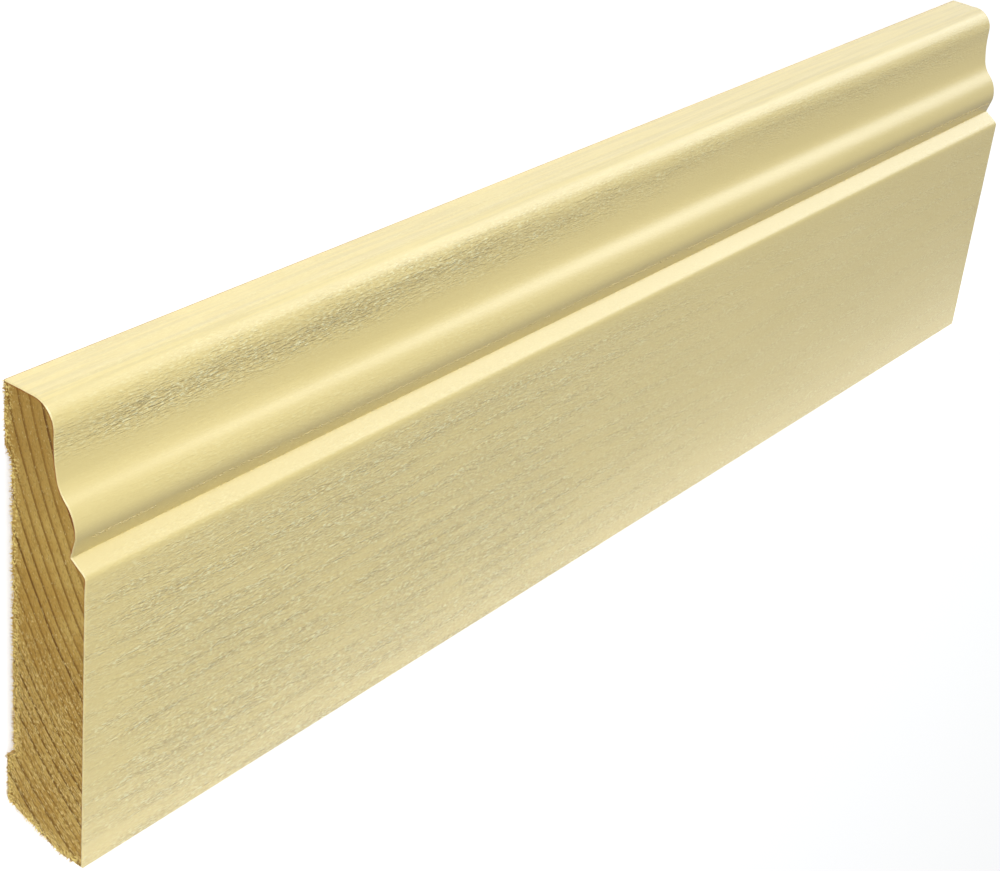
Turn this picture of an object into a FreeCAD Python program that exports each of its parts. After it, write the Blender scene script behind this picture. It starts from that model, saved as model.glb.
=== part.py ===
import FreeCAD, Part
import math
import os
import Sketcher
from FreeCAD import Vector

# A short length of moulded skirting board, one piece of planed softwood.
# It lies on its back: X runs along its length, Y up the height that it has on a wall,
# towards the moulded edge, and Z out of the wall, from the back feet to the show face.
# The origin is under the middle of the board. Millimetres and degrees.

# Driving sizes
# A drop is measured down from the top edge, a set-back behind the flat show face.

SIZES = {
    "board_length": 350.0,      # from one sawn end to the other
    "board_height": 95.0,       # top edge to bottom edge
    "board_thickness": 21.0,    # back feet to the flat show face
    "nosing_radius": 5.4,       # the quarter round under the flat of the top edge
    "nosing_set_back": 8.1,     # the nosing's foremost line
    "neck_drop": 5.6,           # where the nosing ends and the neck begins
    "neck_radius": 34.0,        # the long shallow hollow under the nosing
    "cove_radius": 6.5,         # the tighter hollow between the neck and the bead
    "bead_radius": 8.0,
    "bead_set_back": 2.65,      # how far behind the flat face the bead's arc reaches
    "bead_drop": 23.6,          # the bead's centre
    "lip_radius": 2.0,          # the quick turn at the bead's foremost line
    "underside_lean": 16.0,     # the bead's flat underside, falling back towards the groove
    "groove_drop": 28.2,        # the bottom of the groove under the bead
    "groove_depth": 3.8,
    "shoulder_slope": 33.0,     # the groove's lower side, falling towards the front
    "shoulder_radius": 1.7,     # where that side rounds over into the flat face
    "relief_depth": 1.75,       # the hollow of the back between its two feet
    "upper_ramp": 2.8,          # the run of the hollow's upper sloping side
    "lower_ramp": 1.5,
    "upper_foot_height": 12.8,
    "lower_foot_height": 15.4,  # from the bottom edge, with the heel bevel
    "heel_depth": 14.0,         # the bevel under the board, measured across its thickness
    "heel_rise": 4.7,           # and up its back
}

NODE = "skirting_board"

doc = FreeCAD.newDocument("skirting_board_length")


def make_sheet():
    """Put each driving size in a cell of its own, under its own name."""
    sheet = doc.addObject("Spreadsheet::Sheet", "sizes")
    for row, (name, value) in enumerate(SIZES.items(), start=1):
        sheet.set(f"A{row}", name)
        sheet.set(f"B{row}", str(value))
        sheet.setAlias(f"B{row}", name)
    doc.recompute()
    return sheet


def section_sketch(body, name):
    """A sketch across the board: its x is the board's Y and its y is the board's Z."""
    sketch = body.newObject("Sketcher::SketchObject", name)
    plane = next(f for f in body.Origin.OriginFeatures if f.Role == "YZ_Plane")
    sketch.AttachmentSupport = [(plane, "")]
    sketch.MapMode = "FlatFace"
    return sketch


def size_constraint(sketch, kind, places, start, expression):
    """Add one dimension, begin it at its own value and bind it to the sheet."""
    index = sketch.addConstraint(Sketcher.Constraint(kind, *places, start))
    sketch.setExpression(f"Constraints[{index}]", expression)


def line(begin, end):
    return Part.LineSegment(Vector(*begin, 0), Vector(*end, 0))


def arc(centre, radius, begin, end):
    """An arc run counter-clockwise, from the direction of begin to that of end."""
    circle = Part.Circle(Vector(*centre, 0), Vector(0, 0, 1), radius)
    first = math.atan2(begin[1] - centre[1], begin[0] - centre[0])
    last = math.atan2(end[1] - centre[1], end[0] - centre[0])
    return Part.ArcOfCircle(circle, first, last)


def cut_through(body, sketch, name):
    """Run a cutter of the sketch's shape along the whole board, both ways from its middle."""
    cut = body.newObject("PartDesign::Pocket", name)
    cut.Profile = sketch
    cut.SideType = "Symmetric"
    cut.Type = "ThroughAll"
    return cut


# Points of the moulding, worked out from the sizes
# The solver of the section's sketch starts from them, so that it has nothing left to move.

def between(first, second, share):
    """The point at a share of the way from the first to the second, or beyond it."""
    return tuple(first[i] + share * (second[i] - first[i]) for i in (0, 1))


def meet(first, from_first, second, from_second):
    """The point at given distances from two others, on the left of the way between them."""
    apart = math.dist(first, second)
    along = (from_first ** 2 - from_second ** 2 + apart ** 2) / (2 * apart)
    aside = math.sqrt(from_first ** 2 - along ** 2)
    ahead = [(second[i] - first[i]) / apart for i in (0, 1)]
    return (first[0] + along * ahead[0] - aside * ahead[1],
            first[1] + along * ahead[1] + aside * ahead[0])


def moulding_points():
    """Every corner, tangent point and centre of the section, as (up the board, out of the wall)."""
    size = SIZES
    top = size["board_height"] / 2
    face = size["board_thickness"]
    lean = math.radians(size["underside_lean"])
    slope = math.radians(size["shoulder_slope"])
    nosing, neck, cove = size["nosing_radius"], size["neck_radius"], size["cove_radius"]
    bead, lip = size["bead_radius"], size["lip_radius"]
    at = {}
    at["nosing_centre"] = (top - nosing, face - size["nosing_set_back"] - nosing)
    at["nosing_top"] = (top, at["nosing_centre"][1])
    below = size["neck_drop"] - nosing
    at["nosing_foot"] = (top - size["neck_drop"],
                         at["nosing_centre"][1] + math.sqrt(nosing ** 2 - below ** 2))
    at["bead_centre"] = (top - size["bead_drop"], face - size["bead_set_back"] - bead)

    # Where two arcs touch, the point lies on the line through both centres. The neck and the
    # cove are hollows, with their centres in front of the board.
    at["neck_centre"] = between(at["nosing_centre"], at["nosing_foot"], 1 + neck / nosing)
    at["cove_centre"] = meet(at["neck_centre"], neck - cove, at["bead_centre"], cove + bead)
    at["neck_foot"] = between(at["neck_centre"], at["cove_centre"], neck / (neck - cove))
    at["bead_top"] = between(at["bead_centre"], at["cove_centre"], bead / (cove + bead))

    # The lip lies inside the bead's arc and inside the straight underside.
    at["groove"] = (top - size["groove_drop"], face - size["groove_depth"])
    up = (math.cos(lean), math.sin(lean))
    inside = (lip * math.sin(lean), -lip * math.cos(lean))
    offset = [at["groove"][i] + inside[i] - at["bead_centre"][i] for i in (0, 1)]
    along = offset[0] * up[0] + offset[1] * up[1]
    apart = offset[0] ** 2 + offset[1] ** 2 - (bead - lip) ** 2
    run = -along + math.sqrt(along ** 2 - apart)
    at["lip_foot"] = tuple(at["groove"][i] + run * up[i] for i in (0, 1))
    at["lip_centre"] = tuple(at["lip_foot"][i] + inside[i] for i in (0, 1))
    at["lip_top"] = between(at["bead_centre"], at["lip_centre"], bead / (bead - lip))

    # The shoulder rounds off the corner where the groove's lower side would meet the face.
    rounded = size["shoulder_radius"] * math.tan((math.pi / 2 - slope) / 2)
    corner = at["groove"][0] - (face - at["groove"][1]) * math.tan(slope)
    at["shoulder_top"] = (corner + rounded * math.sin(slope), face - rounded * math.cos(slope))
    at["shoulder_foot"] = (corner - rounded, face)
    at["shoulder_centre"] = (corner - rounded, face - size["shoulder_radius"])
    at["front_bottom"] = (-top, face)
    at["back_bottom"] = (-top, 0.0)
    at["back_top"] = (top, 0.0)
    return at


# The moulded section, run along the length
# Edge numbers of the sketch, in order round the section from the back's top corner.

(TOP, NOSING, NECK, COVE, BEAD, LIP, UNDERSIDE, GROOVE_SIDE, SHOULDER, FACE, BOTTOM,
 BACK) = range(12)
START, END, CENTRE = 1, 2, 3
AXIS, ORIGIN = -1, (-1, 1)


def moulded_length(body):
    at = moulding_points()
    size = SIZES
    sketch = section_sketch(body, "moulded_section")
    sketch.addGeometry([
        line(at["back_top"], at["nosing_top"]),
        arc(at["nosing_centre"], size["nosing_radius"], at["nosing_top"], at["nosing_foot"]),
        arc(at["neck_centre"], size["neck_radius"], at["neck_foot"], at["nosing_foot"]),
        arc(at["cove_centre"], size["cove_radius"], at["bead_top"], at["neck_foot"]),
        arc(at["bead_centre"], size["bead_radius"], at["bead_top"], at["lip_top"]),
        arc(at["lip_centre"], size["lip_radius"], at["lip_top"], at["lip_foot"]),
        line(at["lip_foot"], at["groove"]),
        line(at["groove"], at["shoulder_top"]),
        arc(at["shoulder_centre"], size["shoulder_radius"], at["shoulder_top"],
            at["shoulder_foot"]),
        line(at["shoulder_foot"], at["front_bottom"]),
        line(at["front_bottom"], at["back_bottom"]),
        line(at["back_bottom"], at["back_top"]),
    ])

    # Sharp corners only meet. Smooth joins meet and share a tangent.
    for first, first_end, second, second_end in (
            (UNDERSIDE, END, GROOVE_SIDE, START), (FACE, END, BOTTOM, START),
            (BOTTOM, END, BACK, START), (BACK, END, TOP, START)):
        sketch.addConstraint(
            Sketcher.Constraint("Coincident", first, first_end, second, second_end))
    for first, first_end, second, second_end in (
            (TOP, END, NOSING, START), (NOSING, END, NECK, END), (NECK, START, COVE, END),
            (COVE, START, BEAD, START), (BEAD, END, LIP, START), (LIP, END, UNDERSIDE, START),
            (GROOVE_SIDE, END, SHOULDER, START), (SHOULDER, END, FACE, START)):
        sketch.addConstraint(
            Sketcher.Constraint("Tangent", first, first_end, second, second_end))

    # The blank: a rectangle that stands on the back, with its middle over the origin.
    sketch.addConstraint(Sketcher.Constraint("Vertical", TOP))
    sketch.addConstraint(Sketcher.Constraint("Vertical", BOTTOM))
    sketch.addConstraint(Sketcher.Constraint("Horizontal", FACE))
    sketch.addConstraint(Sketcher.Constraint("Symmetric", BACK, START, BACK, END, *ORIGIN))
    sketch.addConstraint(Sketcher.Constraint("PointOnObject", BACK, END, AXIS))
    size_constraint(sketch, "Distance", (BACK,), size["board_height"], "sizes.board_height")
    size_constraint(sketch, "Distance", (BOTTOM,), size["board_thickness"],
                    "sizes.board_thickness")

    # The nosing and the shallow neck under it
    size_constraint(sketch, "Radius", (NOSING,), size["nosing_radius"], "sizes.nosing_radius")
    size_constraint(sketch, "DistanceY", (NOSING, CENTRE, FACE, START),
                    size["nosing_set_back"] + size["nosing_radius"],
                    "sizes.nosing_set_back + sizes.nosing_radius")
    size_constraint(sketch, "DistanceX", (NOSING, END, TOP, END), size["neck_drop"],
                    "sizes.neck_drop")
    size_constraint(sketch, "Radius", (NECK,), size["neck_radius"], "sizes.neck_radius")

    # The cove, the bead and its lip
    size_constraint(sketch, "Radius", (COVE,), size["cove_radius"], "sizes.cove_radius")
    size_constraint(sketch, "Radius", (BEAD,), size["bead_radius"], "sizes.bead_radius")
    size_constraint(sketch, "DistanceY", (BEAD, CENTRE, FACE, START),
                    size["bead_set_back"] + size["bead_radius"],
                    "sizes.bead_set_back + sizes.bead_radius")
    size_constraint(sketch, "DistanceX", (BEAD, CENTRE, TOP, END), size["bead_drop"],
                    "sizes.bead_drop")
    size_constraint(sketch, "Radius", (LIP,), size["lip_radius"], "sizes.lip_radius")

    # The groove under the bead, and the shoulder that leads from it into the flat face
    size_constraint(sketch, "Angle", (UNDERSIDE,), math.radians(size["underside_lean"] - 180),
                    "sizes.underside_lean - 180")
    size_constraint(sketch, "DistanceX", (UNDERSIDE, END, TOP, END), size["groove_drop"],
                    "sizes.groove_drop")
    size_constraint(sketch, "DistanceY", (UNDERSIDE, END, FACE, START), size["groove_depth"],
                    "sizes.groove_depth")
    size_constraint(sketch, "Angle", (GROOVE_SIDE,), math.radians(90 + size["shoulder_slope"]),
                    "90 + sizes.shoulder_slope")
    size_constraint(sketch, "Radius", (SHOULDER,), size["shoulder_radius"],
                    "sizes.shoulder_radius")

    pad = body.newObject("PartDesign::Pad", "moulded_length")
    pad.Profile = sketch
    pad.SideType = "Symmetric"
    pad.setExpression("Length", "sizes.board_length")
    return sketch


# The hollow back: two feet touch the wall, and the board clears its bumps between them

def back_relief(body):
    size = SIZES
    top = size["board_height"] / 2
    low_foot = size["lower_foot_height"] - top
    high_foot = top - size["upper_foot_height"]
    low_bed = low_foot + size["lower_ramp"]
    high_bed = high_foot - size["upper_ramp"]
    depth = size["relief_depth"]
    sketch = section_sketch(body, "relief_outline")
    mouth, low_ramp, bed, high_ramp = range(4)
    sketch.addGeometry([
        line((high_foot, 0.0), (low_foot, 0.0)),
        line((low_foot, 0.0), (low_bed, depth)),
        line((low_bed, depth), (high_bed, depth)),
        line((high_bed, depth), (high_foot, 0.0)),
    ])
    for edge in range(4):
        sketch.addConstraint(
            Sketcher.Constraint("Coincident", edge, END, (edge + 1) % 4, START))
    sketch.addConstraint(Sketcher.Constraint("PointOnObject", mouth, START, AXIS))
    sketch.addConstraint(Sketcher.Constraint("Horizontal", mouth))
    sketch.addConstraint(Sketcher.Constraint("Horizontal", bed))
    size_constraint(sketch, "DistanceX", (mouth, END, *ORIGIN), -low_foot,
                    "sizes.board_height / 2 - sizes.lower_foot_height")
    size_constraint(sketch, "DistanceX", (*ORIGIN, mouth, START), high_foot,
                    "sizes.board_height / 2 - sizes.upper_foot_height")
    size_constraint(sketch, "DistanceY", (low_ramp, START, low_ramp, END), depth,
                    "sizes.relief_depth")
    size_constraint(sketch, "DistanceX", (low_ramp, START, low_ramp, END), size["lower_ramp"],
                    "sizes.lower_ramp")
    size_constraint(sketch, "DistanceX", (high_ramp, START, high_ramp, END), size["upper_ramp"],
                    "sizes.upper_ramp")
    return sketch, cut_through(body, sketch, "back_relief")


# The heel: the underside is bevelled up towards the wall, so that the front corner sits tight

def heel_bevel(body):
    size = SIZES
    bottom = -size["board_height"] / 2
    sketch = section_sketch(body, "heel_outline")
    under, bevel, behind = range(3)
    sketch.addGeometry([
        line((bottom, 0.0), (bottom, size["heel_depth"])),
        line((bottom, size["heel_depth"]), (bottom + size["heel_rise"], 0.0)),
        line((bottom + size["heel_rise"], 0.0), (bottom, 0.0)),
    ])
    for edge in range(3):
        sketch.addConstraint(
            Sketcher.Constraint("Coincident", edge, END, (edge + 1) % 3, START))
    sketch.addConstraint(Sketcher.Constraint("PointOnObject", under, START, AXIS))
    sketch.addConstraint(Sketcher.Constraint("Vertical", under))
    sketch.addConstraint(Sketcher.Constraint("Horizontal", behind))
    size_constraint(sketch, "DistanceX", (under, START, *ORIGIN), -bottom,
                    "sizes.board_height / 2")
    size_constraint(sketch, "DistanceY", (bevel, END, bevel, START), size["heel_depth"],
                    "sizes.heel_depth")
    size_constraint(sketch, "DistanceX", (bevel, START, bevel, END), size["heel_rise"],
                    "sizes.heel_rise")
    return sketch, cut_through(body, sketch, "heel_bevel")


# Build the board

make_sheet()
board = doc.addObject("PartDesign::Body", NODE)
board.Label = NODE
section = moulded_length(board)
doc.recompute()
blank_volume = board.Shape.Volume
relief_outline, relief = back_relief(board)
doc.recompute()
relieved_volume = board.Shape.Volume
heel_outline, heel = heel_bevel(board)
board.Tip = heel
doc.recompute()

# Test it before anything is written

for item in doc.Objects:
    if "Invalid" in item.State or "Error" in item.State:
        raise RuntimeError(f"{item.Label} failed: {item.State}")
for sketch in (section, relief_outline, heel_outline):
    if sketch.solve() != 0 or not sketch.FullyConstrained:
        raise RuntimeError(f"{sketch.Label} isn't fully constrained")
shape = board.Shape
if shape.isNull() or not shape.isValid() or len(shape.Solids) != 1:
    raise RuntimeError("the board isn't one valid solid")
if not shape.Volume < relieved_volume < blank_volume:
    raise RuntimeError("a cutter took nothing off the board")

os.makedirs("parts", exist_ok=True)
shape.exportStep(f"parts/{NODE}.step")
box = shape.BoundBox
print(f"{NODE}: {box.XLength:.2f} x {box.YLength:.2f} x {box.ZLength:.2f} mm")
print(f"volume {shape.Volume / 1000:.1f} cm3, {len(shape.Faces)} faces")
for name, point in moulding_points().items():
    print(f"{name}: {point[0]:.2f} up, {point[1]:.2f} out")
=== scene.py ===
# %% [markdown]
# A length of skirting board, dressed for its picture.
# The board is one stick of softwood that a moulding machine has shaped, painted cream on the
# side that a room sees, and crosscut at both ends with a saw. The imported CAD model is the
# frame: it says how big the board is and where it lies. This script puts a finished board of
# the same shape in its place, with wood grain that runs through it in three dimensions, so
# that the rings on the sawn ends, the bumps in the paint and the lines on the back are all
# one tree.

# %% Load the frame
import math
import random

import bmesh
import bpy
import numpy as np
from mathutils import Matrix, Vector
from mathutils.geometry import delaunay_2d_cdt


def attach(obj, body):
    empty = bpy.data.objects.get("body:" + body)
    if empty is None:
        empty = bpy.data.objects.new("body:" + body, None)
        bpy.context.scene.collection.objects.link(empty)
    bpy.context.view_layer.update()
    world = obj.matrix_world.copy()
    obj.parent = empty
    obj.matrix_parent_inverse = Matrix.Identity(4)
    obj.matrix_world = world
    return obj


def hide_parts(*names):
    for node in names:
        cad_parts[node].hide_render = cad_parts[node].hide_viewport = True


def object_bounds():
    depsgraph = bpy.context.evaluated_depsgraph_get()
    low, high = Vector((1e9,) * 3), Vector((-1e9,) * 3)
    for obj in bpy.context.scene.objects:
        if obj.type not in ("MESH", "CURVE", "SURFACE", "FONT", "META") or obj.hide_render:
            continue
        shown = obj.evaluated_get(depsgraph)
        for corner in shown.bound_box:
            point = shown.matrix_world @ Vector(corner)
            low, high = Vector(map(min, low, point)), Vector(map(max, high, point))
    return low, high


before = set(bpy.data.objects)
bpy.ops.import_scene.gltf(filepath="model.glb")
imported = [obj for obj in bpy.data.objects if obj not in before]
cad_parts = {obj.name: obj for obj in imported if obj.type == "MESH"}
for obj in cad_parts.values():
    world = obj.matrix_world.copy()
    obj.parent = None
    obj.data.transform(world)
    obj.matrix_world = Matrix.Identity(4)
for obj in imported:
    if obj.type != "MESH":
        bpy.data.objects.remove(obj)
cad_low, cad_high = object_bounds()
MM = 0.001
LENGTH, HEIGHT, THICKNESS = ((cad_high - cad_low) / MM)
print(f"board {LENGTH:.1f} x {HEIGHT:.1f} x {THICKNESS:.1f} mm")

# %% [markdown]
# The board's section is a chain of straight stretches and arcs. The overall height and
# thickness come from the frame, and the cutter's own sizes are named here, in millimetres.
# A drop is measured down from the top edge and a set-back behind the flat face. A list of
# sampled points would also do, but then no one could read the moulding in it. With arcs as
# arcs, each stretch can also have the point spacing that its detail needs.

# %% The moulding cutter's sizes
NOSING_RADIUS, NOSING_SET_BACK, NECK_DROP, NECK_RADIUS = 5.4, 8.1, 5.6, 34.0
COVE_RADIUS = 6.5
BEAD_RADIUS, BEAD_SET_BACK, BEAD_DROP = 8.0, 2.65, 23.6
LIP_RADIUS, UNDERSIDE_LEAN = 2.0, math.radians(16)
GROOVE_DROP, GROOVE_DEPTH = 28.2, 3.8
SHOULDER_SLOPE, SHOULDER_RADIUS = math.radians(33), 1.7
RELIEF_DEPTH, UPPER_RAMP, LOWER_RAMP = 1.75, 2.8, 1.5
UPPER_FOOT, LOWER_FOOT = 12.8, 15.4
HEEL_DEPTH, HEEL_RISE = 14.0, 4.7
TOP, BOTTOM = HEIGHT / 2, -HEIGHT / 2

# %% [markdown]
# Where two arcs touch, the point lies on the line through both centres. That one rule gives
# every join of the moulding, so no join is a number of its own, and a cutter with another
# radius still comes out smooth.


# %% Corners, centres and joins of the moulding
def meet(first, from_first, second, from_second):
    """The point at given distances from two others, on the left of the way between them."""
    apart = (second - first).length
    along = (from_first ** 2 - from_second ** 2 + apart ** 2) / (2 * apart)
    ahead = (second - first) / apart
    aside = math.sqrt(from_first ** 2 - along ** 2)
    return first + ahead * along + Vector((-ahead.y, ahead.x)) * aside


def moulding_corners():
    """The section's corners, joins and centres, as (up the board, out of the wall)."""
    at = {"back top": Vector((TOP, 0)), "front bottom": Vector((BOTTOM, THICKNESS))}
    at["nosing"] = Vector((TOP - NOSING_RADIUS, THICKNESS - NOSING_SET_BACK - NOSING_RADIUS))
    at["nosing top"] = Vector((TOP, at["nosing"].y))
    below = NECK_DROP - NOSING_RADIUS
    at["nosing foot"] = at["nosing"] + Vector((-below, math.sqrt(NOSING_RADIUS ** 2 - below ** 2)))
    at["bead"] = Vector((TOP - BEAD_DROP, THICKNESS - BEAD_SET_BACK - BEAD_RADIUS))
    at["neck"] = at["nosing"].lerp(at["nosing foot"], 1 + NECK_RADIUS / NOSING_RADIUS)
    at["cove"] = meet(at["neck"], NECK_RADIUS - COVE_RADIUS, at["bead"], COVE_RADIUS + BEAD_RADIUS)
    at["neck foot"] = at["neck"].lerp(at["cove"], NECK_RADIUS / (NECK_RADIUS - COVE_RADIUS))
    at["bead top"] = at["bead"].lerp(at["cove"], BEAD_RADIUS / (COVE_RADIUS + BEAD_RADIUS))

    at["groove"] = Vector((TOP - GROOVE_DROP, THICKNESS - GROOVE_DEPTH))
    upwards = Vector((math.cos(UNDERSIDE_LEAN), math.sin(UNDERSIDE_LEAN)))
    inside = LIP_RADIUS * Vector((math.sin(UNDERSIDE_LEAN), -math.cos(UNDERSIDE_LEAN)))
    offset = at["groove"] + inside - at["bead"]
    along = offset.dot(upwards)
    spare = offset.length_squared - (BEAD_RADIUS - LIP_RADIUS) ** 2
    at["lip foot"] = at["groove"] + upwards * (-along + math.sqrt(along ** 2 - spare))
    at["lip"] = at["lip foot"] + inside
    at["lip top"] = at["bead"].lerp(at["lip"], BEAD_RADIUS / (BEAD_RADIUS - LIP_RADIUS))

    rounded = SHOULDER_RADIUS * math.tan((math.pi / 2 - SHOULDER_SLOPE) / 2)
    corner = at["groove"].x - GROOVE_DEPTH * math.tan(SHOULDER_SLOPE)
    at["shoulder top"] = Vector((corner + rounded * math.sin(SHOULDER_SLOPE),
                                 THICKNESS - rounded * math.cos(SHOULDER_SLOPE)))
    at["shoulder foot"] = Vector((corner - rounded, THICKNESS))
    at["shoulder"] = at["shoulder foot"] - Vector((0, SHOULDER_RADIUS))
    return at


# %% [markdown]
# The walk round the section. Straight stretches and arcs are cut into short steps, finest on
# the moulding. A sharp corner of the model is never sharp in wood: sandpaper and paint round
# it by a third of a millimetre, and that narrow round is what catches the light along an edge.


# %% Walk round the section
def straight(begin, end, step):
    """Points from begin towards end, without end itself."""
    count = max(1, round((end - begin).length / step))
    return [begin.lerp(end, k / count) for k in range(count)]


def round_arc(centre, begin, end, step):
    """Points on the arc from begin towards end, the short way round."""
    first, last = begin - centre, end - centre
    turn = math.atan2(first.x * last.y - first.y * last.x, first.dot(last))
    count = max(1, round(abs(turn) * first.length / step))
    start = math.atan2(first.y, first.x)
    return [centre + first.length * Vector((math.cos(start + turn * k / count),
                                            math.sin(start + turn * k / count)))
            for k in range(count)]


EASED, EASED_STEP = 0.35, 0.12         # the radius of the rubbed edges


def ease(before, corner, after):
    """A corner's small round: where it begins, its centre, and where it ends."""
    arriving, leaving = (corner - before).normalized(), (after - corner).normalized()
    half_turn = arriving.angle(leaving) / 2
    run = EASED * math.tan(half_turn)
    centre = corner + (leaving - arriving).normalized() * (EASED / math.cos(half_turn))
    return corner - arriving * run, centre, corner + leaving * run


MOULDED_STEP, FACE_STEP, BARE_STEP = 0.42, 0.55, 0.8
at = moulding_corners()
corners = [at["shoulder foot"], at["front bottom"], Vector((BOTTOM, HEEL_DEPTH)),
           Vector((BOTTOM + HEEL_RISE, 0)), Vector((BOTTOM + LOWER_FOOT, 0)),
           Vector((BOTTOM + LOWER_FOOT + LOWER_RAMP, RELIEF_DEPTH)),
           Vector((TOP - UPPER_FOOT - UPPER_RAMP, RELIEF_DEPTH)),
           Vector((TOP - UPPER_FOOT, 0)), at["back top"], at["nosing top"]]
rounds = [ease(*corners[k - 1:k + 2]) for k in range(1, len(corners) - 1)]
painted = (straight(rounds[-1][2], at["nosing top"], FACE_STEP)
           + round_arc(at["nosing"], at["nosing top"], at["nosing foot"], MOULDED_STEP)
           + round_arc(at["neck"], at["nosing foot"], at["neck foot"], MOULDED_STEP)
           + round_arc(at["cove"], at["neck foot"], at["bead top"], MOULDED_STEP)
           + round_arc(at["bead"], at["bead top"], at["lip top"], MOULDED_STEP)
           + round_arc(at["lip"], at["lip top"], at["lip foot"], MOULDED_STEP)
           + straight(at["lip foot"], at["groove"], MOULDED_STEP)
           + straight(at["groove"], at["shoulder top"], MOULDED_STEP)
           + round_arc(at["shoulder"], at["shoulder top"], at["shoulder foot"], MOULDED_STEP)
           + straight(at["shoulder foot"], rounds[0][0], FACE_STEP)
           + round_arc(rounds[0][1], rounds[0][0], rounds[0][2], EASED_STEP))
bare = []
for (_, _, left), (begin, centre, end) in zip(rounds, rounds[1:]):
    bare += straight(left, begin, BARE_STEP) + round_arc(centre, begin, end, EASED_STEP)
outline = painted + bare
print(f"section: {len(painted)} painted points and {len(bare)} bare ones")

# %% [markdown]
# Every tree of nodes below, for shapes or for surfaces, is written with one small function.
# It adds a node, sets its options, and fills its sockets in order, or by name from a dict.
# A socket or another node is linked, and anything else is set as the socket's value. The
# names over it are Blender's own long ones for the nodes and settings that come back most.

# %% One function to add a node
MATH, VECTOR, RAMP = "ShaderNodeMath", "ShaderNodeVectorMath", "ShaderNodeMapRange"
NOISE, MIX = "ShaderNodeTexNoise", "ShaderNodeMix"
SPLIT, JOIN = "ShaderNodeSeparateXYZ", "ShaderNodeCombineXYZ"
TIMES, PLUS, LESS = {"operation": "MULTIPLY"}, {"operation": "ADD"}, {"operation": "SUBTRACT"}
SCALED, MOST, FAR = {"operation": "SCALE"}, {"operation": "MAXIMUM"}, {"operation": "DISTANCE"}
TIMES_PLUS = {"operation": "MULTIPLY_ADD"}
SMOOTH = {"interpolation_type": "SMOOTHSTEP"}


def add(tree, kind, *values, **options):
    node = tree.nodes.new(kind)
    for name, value in options.items():
        setattr(node, name, value)
    for order, value in enumerate(values):
        for name, item in (value if isinstance(value, dict) else {order: value}).items():
            if isinstance(item, bpy.types.Node):
                item = item.outputs[0]
            if isinstance(item, bpy.types.NodeSocket):
                tree.links.new(item, node.inputs[name])
            else:
                node.inputs[name].default_value = item
    return node


def linear(hex_colour):
    """An sRGB colour such as #E8DCB0 as the linear numbers that a shader wants."""
    channels = [int(hex_colour[k:k + 2], 16) / 255 for k in (1, 3, 5)]
    return (*[c / 12.92 if c <= 0.04045 else ((c + 0.055) / 1.055) ** 2.4 for c in channels], 1)


# %% [markdown]
# Most of what follows is said in four ways: noises whose grains have a real size, masks that
# hold only where others do, colours laid over each other, and heights that add up. Each way
# is a short loop, so that a finish below reads as a list of what is seen on the wood.

# %% Noises, masks, colours and heights
def noises(tree, place, **grains):
    """Named noises at a place in mm, from each grain's size on three axes and its detail."""
    made = {}
    for name, (along, out, around, detail) in grains.items():
        scaled = add(tree, VECTOR, place, (1 / along, 1 / out, 1 / around), **TIMES)
        made[name] = add(tree, NOISE, {"Vector": scaled, "Scale": 1.0, "Detail": detail})
    return made


def where_all(tree, mask, *others):
    """A mask that is strong only where all of the given ones are."""
    for other in others:
        mask = add(tree, MATH, mask, other, **TIMES)
    return mask


def laid_over(tree, ground, *coats):
    """Colours over a ground, each a mask and the colour that shows where it is strong."""
    for mask, colour in coats:
        colour = linear(colour) if isinstance(colour, str) else colour
        ground = add(tree, MIX, {"Factor": mask, 6: ground, 7: colour}, data_type="RGBA")
        ground = ground.outputs[2]
    return ground


def height_of(tree, *parts):
    """The sum of patterns, each with its height in mm."""
    total = 0.0
    for pattern, tall in parts:
        total = add(tree, MATH, pattern, tall, total, **TIMES_PLUS)
    return total


# %% [markdown]
# Growth rings. A tree adds a pale, soft layer each spring and a thin, hard, brown one each
# summer, so a board cut out of it shows circles round the pith on its ends and long lines on
# its faces. Here the pith runs beside the board, above its moulded edge and in front of it,
# and a ring count is worked out from the distance to it. The same function builds the nodes
# in the shape's tree and in the surfaces' trees, so that every face agrees on where a ring
# is. Drawing rings on the ends and lines on the faces as separate patterns would be easier,
# but they would not meet at the corners.

# %% The ring field
PITH_UP, PITH_OUT = 77.3, 122.9        # where the pith lies, seen on the sawn end
FIRST_RING, RING_WIDTH = 117.5, 2.84   # the radius of one brown line, and the usual spacing
WIDE_FROM, WIDENING = 149.0, 0.0045    # outside that radius the rings grow wider
WANDER = 1.1                           # how far a ring strays along the board


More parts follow.
